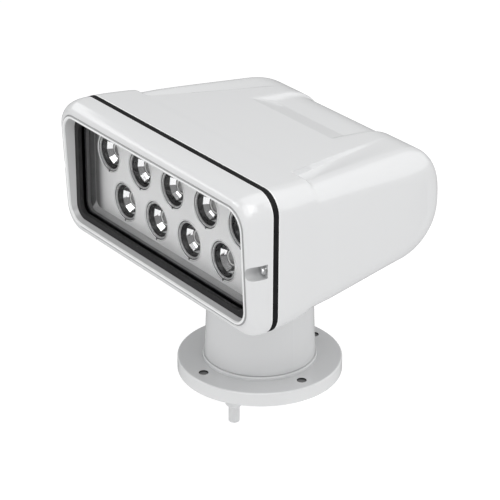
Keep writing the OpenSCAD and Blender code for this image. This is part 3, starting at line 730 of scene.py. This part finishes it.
# ------------------------------------------------------------------ gasket with a soft face
def build_gasket():
    rings = []
    for y, ins in ((Y_G1, 0.2), (Y_G1 - 0.1, 0.08), (Y_G1 - 0.3, 0.0), (-92.4, 0.0), (Y_G0 + 0.3, 0.0), (Y_G0 + 0.1, 0.08), (Y_G0, 0.2)):
        rings.append(rr_ring(HW - 2 * ins, HH - 2 * ins, HR - ins, y, 0))
    rings.append(rr_ring(278.0, 116.4, 13.2, Y_G0, 0))
    rings.append(rr_ring(278.0, 116.4, 13.2, Y_G1, 0))
    v, f = loft(rings)
    o = make("head_gasket", v, f, RUBBER, "head", True, ("housing_gasket",), sharp=50)
    return o


gasket = build_gasket()

# ------------------------------------------------------------------ light cells
Y_PL = -93.5
CELLS = [(i * 50.0, 19.5) for i in (-2, -1, 0, 1, 2)] + [(i * 50.0, -19.5) for i in (-1.5, -0.5, 0.5, 1.5)]


def build_cells():
    rim, groove, inner, bowl, cone, ring, dome, tab = [], [], [], [], [], [], [], []
    for cx, dz in CELLS:
        cz = HZ + dz
        rim.append(lathe([(18.8, Y_PL), (18.75, Y_PL - 0.4), (18.4, Y_PL - 0.7), (17.8, Y_PL - 0.65), (17.5, Y_PL - 0.3), (17.45, Y_PL + 0.3)], cx, cz, 96))
        groove.append(lathe([(17.45, Y_PL + 0.3), (17.4, Y_PL + 1.8), (16.8, Y_PL + 1.8), (16.75, Y_PL + 0.7), (16.6, Y_PL + 0.8), (16.6, Y_PL + 2.1),
                             (17.65, Y_PL + 2.1), (17.65, Y_PL + 0.35)], cx, cz, 96))
        inner.append(lathe([(16.75, Y_PL + 0.7), (16.6, Y_PL + 0.2), (16.2, Y_PL + 0.0), (15.7, Y_PL + 0.15), (15.35, Y_PL + 0.7), (15.2, Y_PL + 1.5),
                            (15.5, Y_PL + 1.6), (16.45, Y_PL + 1.0)], cx, cz, 96))
        pr = []
        for i in range(13):
            t = i / 12
            pr.append((lerp(15.2, 12.8, t ** 1.4), Y_PL + lerp(1.5, 5.6, t)))
        bowl.append(lathe(pr + [(r + 0.4, y + 0.1) for r, y in reversed(pr)], cx, cz, 96))
        # faceted mirror: ten flat leaves, alternate ones set a little steeper
        n = 10
        vs, fs = [], []
        for i in range(n):
            a0, a1 = 2 * math.pi * (i + 0.25) / n + 0.004, 2 * math.pi * (i + 1.25) / n - 0.004
            d = 0.35 if i % 2 else 0.0
            k = len(vs)
            for o in (0.0, 0.3):
                for r, y in ((12.85, 5.6), (10.4 - d, 8.2 + d), (8.3, 10.2)):
                    for a in (a0, a1):
                        vs.append((cx + (r + o) * math.cos(a), Y_PL + y + o, cz + (r + o) * math.sin(a)))
            q = [(0, 1, 3, 2), (2, 3, 5, 4), (6, 8, 9, 7), (8, 10, 11, 9), (0, 6, 7, 1), (4, 5, 11, 10), (0, 2, 8, 6), (2, 4, 10, 8), (1, 7, 9, 3), (3, 9, 11, 5)]
            fs += [tuple(k + v for v in f) for f in q]
        cone.append((vs, fs))
        groove.append(lathe([(8.35, Y_PL + 10.25), (8.05, Y_PL + 9.3), (7.9, Y_PL + 9.05), (6.95, Y_PL + 9.0), (6.9, Y_PL + 10.4), (6.9, Y_PL + 10.8), (8.45, Y_PL + 10.8)], cx, cz, 72))
        ring.append(lathe([(6.9, Y_PL + 10.4), (6.85, Y_PL + 9.2), (6.5, Y_PL + 8.8), (5.9, Y_PL + 9.0), (5.7, Y_PL + 10.0), (5.75, Y_PL + 10.4)], cx, cz, 72))
        pr = [(0.0, Y_PL + 10.0)]
        for i in range(13):
            a = math.radians(90.0 * i / 12)
            pr.append((5.68 * math.cos(a) if i < 12 else 0.0, Y_PL + 10.0 - 2.3 * math.sin(a)))
        dome.append(lathe(pr, cx, cz, 64, False))
        # small locating tab at the foot of the ring
        tv = [(cx + dx, Y_PL + dy, cz - dr) for dy in (-0.75, 0.4) for dx, dr in ((-0.55, 18.75), (0.55, 18.75), (0.8, 16.6), (-0.8, 16.6))]
        tab.append((tv, [(0, 1, 2, 3), (7, 6, 5, 4), (0, 4, 5, 1), (1, 5, 6, 2), (2, 6, 7, 3), (3, 7, 4, 0)]))
    for nm, parts, mat, rep, sl in (("cell_rims", rim, RINGGREY, ("reflector_cups",), "mirror_cup"), ("cell_grooves", groove, GROOVE, (), "black_plastic"),
                                    ("cell_inner_rims", inner, RINGDARK, (), "mirror_cup"),
                                    ("cell_bowls", bowl, DARKCHROME, (), "mirror_cup"), ("cell_mirrors", cone, CHROME, (), "mirror_cup"),
                                    ("cell_rings", ring, RINGWHITE, ("led_emitters",), "emitter"), ("cell_domes", dome, DOME, (), "emitter"),
                                    ("cell_tabs", tab, GROOVE, (), "black_plastic")):
        v, f = join_parts(parts)
        make(nm, v, f, mat, "head", nm not in ("cell_mirrors", "cell_tabs"), rep, sharp=None if nm == "cell_mirrors" else 50)


build_cells()

# ------------------------------------------------------------------ materials on the CAD nodes
BY_NODE = {
    "base_flange": FLANGE, "pan_spindle": STEEL, "spindle_screws": STEEL, "pan_gear": BRONZE, "spindle_nut": STEEL,
    "slip_ring_stator": DARKPLAST, "outlet_spigot": WHITE, "outlet_screws": STEEL, "outlet_nut": WHITE,
    "turret_column": WHITE, "turret_hub": ALU, "hub_screws": STEEL, "pan_bush_lower": BRONZE, "pan_bush_upper": BRONZE,
    "pan_seal": RUBBER, "pan_motor": MOTOR, "pan_motor_screws": STEEL, "slip_ring_rotor": DARKPLAST, "tilt_neck": WHITE,
    "neck_screws": STEEL, "tilt_axle": STEEL, "axle_pin": STEEL, "axle_key": STEEL, "axle_clips": STEEL, "tilt_gear": BRONZE,
    "lens_gasket": LENSRUB, "lens_glass": GLASS, "lens_frame": FRAME_LIFTED, "reflector_trim": TRIM, "reflector_plate": PLATE,
    "led_board": BOARD, "board_posts": STEEL, "heat_sink": ALU, "driver_board": BOARD, "bezel_screws": BRIGHT,
    "tilt_cradle": ALU, "cradle_screws": STEEL, "tilt_bushes": BRONZE, "tilt_seals": RUBBER, "tilt_motor": MOTOR,
    "tilt_motor_bracket": STEEL, "tilt_motor_screws": STEEL, "pan_pinion": STEEL, "tilt_pinion": STEEL,
    "rear_housing": WHITE, "front_bezel": WHITE, "housing_gasket": RUBBER, "reflector_cups": CHROME, "led_emitters": RINGWHITE,
}
for n, o in NODES.items():
    m = BY_NODE[n]
    if not o.data.materials:
        o.data.materials.append(m)
    for s in o.material_slots:
        s.material = m

# rounded edges on the CAD nodes that show
for n, w in (("tilt_neck", 0.0016), ("neck_screws", 0.0004), ("bezel_screws", 0.00035), ("outlet_nut", 0.0005)):
    b = NODES[n].modifiers.new("edge", "BEVEL")
    b.width = w
    b.segments = 3
    b.limit_method = "ANGLE"
    b.angle_limit = math.radians(35)
    b.harden_normals = False

# ------------------------------------------------------------------ camera, floor, light
cam = bpy.data.cameras.new("camera")
cam.sensor_fit = "HORIZONTAL"
cam.sensor_width = 36.0
cam.lens = 36.0 * 2088.613 / 500.0
cam.clip_end = 50.0
co = bpy.data.objects.new("camera", cam)
scene.collection.objects.link(co)
right = Vector((0.5918907127, 0.8060076568, 0.0041281167))
upv = Vector((-0.3492693271, 0.2518629748, 0.9025386303))
back = Vector((0.7264133268, -0.5356460576, 0.4305891075))
rot = Matrix((right, upv, back)).transposed().to_4x4()
co.matrix_world = Matrix.Translation(Vector((1.36354353, -1.01725338, 0.93090541))) @ rot
scene.camera = co

fl = bpy.data.meshes.new("floor")
S = 40.0
fl.from_pydata([(-S, -S, -0.0481), (S, -S, -0.0481), (S, S, -0.0481), (-S, S, -0.0481)], [], [(0, 1, 2, 3)])
floor = bpy.data.objects.new("floor", fl)
scene.collection.objects.link(floor)
fm, fnt, fsh = mat_new("floor_white")
setv(fsh, rough=0.9, spec=0.1, emit=(1.0, 1.0, 1.0, 1.0), emit_s=0.80)
fn = noise(fnt, 3.0)
fnt.links.new(ramp(fnt, fn.outputs["Fac"], [(0.3, (0.34, 0.34, 0.34)), (0.7, (0.36, 0.36, 0.36))]).outputs["Color"], fsh.inputs["Base Color"])
fl.materials.append(fm)
floor.visible_glossy = False

w = bpy.data.worlds.new("studio")
w.use_nodes = True
w.node_tree.nodes["Background"].inputs["Color"].default_value = (1.0, 1.0, 1.0, 1.0)
w.node_tree.nodes["Background"].inputs["Strength"].default_value = 0.235
scene.world = w
scene.view_settings.view_transform = "Standard"
scene.view_settings.look = "None"


def area(name, loc, target, size, power, sy=None):
    l = bpy.data.lights.new(name, "AREA")
    l.energy = power
    l.size = size
    if sy:
        l.shape = "RECTANGLE"
        l.size_y = sy
    o = bpy.data.objects.new(name, l)
    scene.collection.objects.link(o)
    d = (Vector(loc) - Vector(target)).normalized()
    o.matrix_world = Matrix.Translation(Vector(loc)) @ d.to_track_quat("Z", "Y").to_matrix().to_4x4()
    return o


area("key", (1.5, -0.4, 1.9), (0, 0, 0.15), 1.4, 8.6)
area("near", (1.2, -1.2, 1.9), (0, 0, 0.15), 2.2, 22.5)
area("top", (0.0, 0.3, 2.2), (0, 0, 0.15), 2.2, 14.8)
area("panel", (0.7, 1.35, 1.15), (0.7, 0, 1.15), 2.4, 11.5, 1.8)
area("front", (-0.9, -1.7, 1.5), (0, 0, 0.15), 1.0, 7.0)
# a long soft box that only shows as a highlight along the bezel's upper edge
area("strip", (-1.45, -0.62, 1.28), (0, -0.11, 0.24), 2.2, 4.2, 0.3).visible_diffuse = False
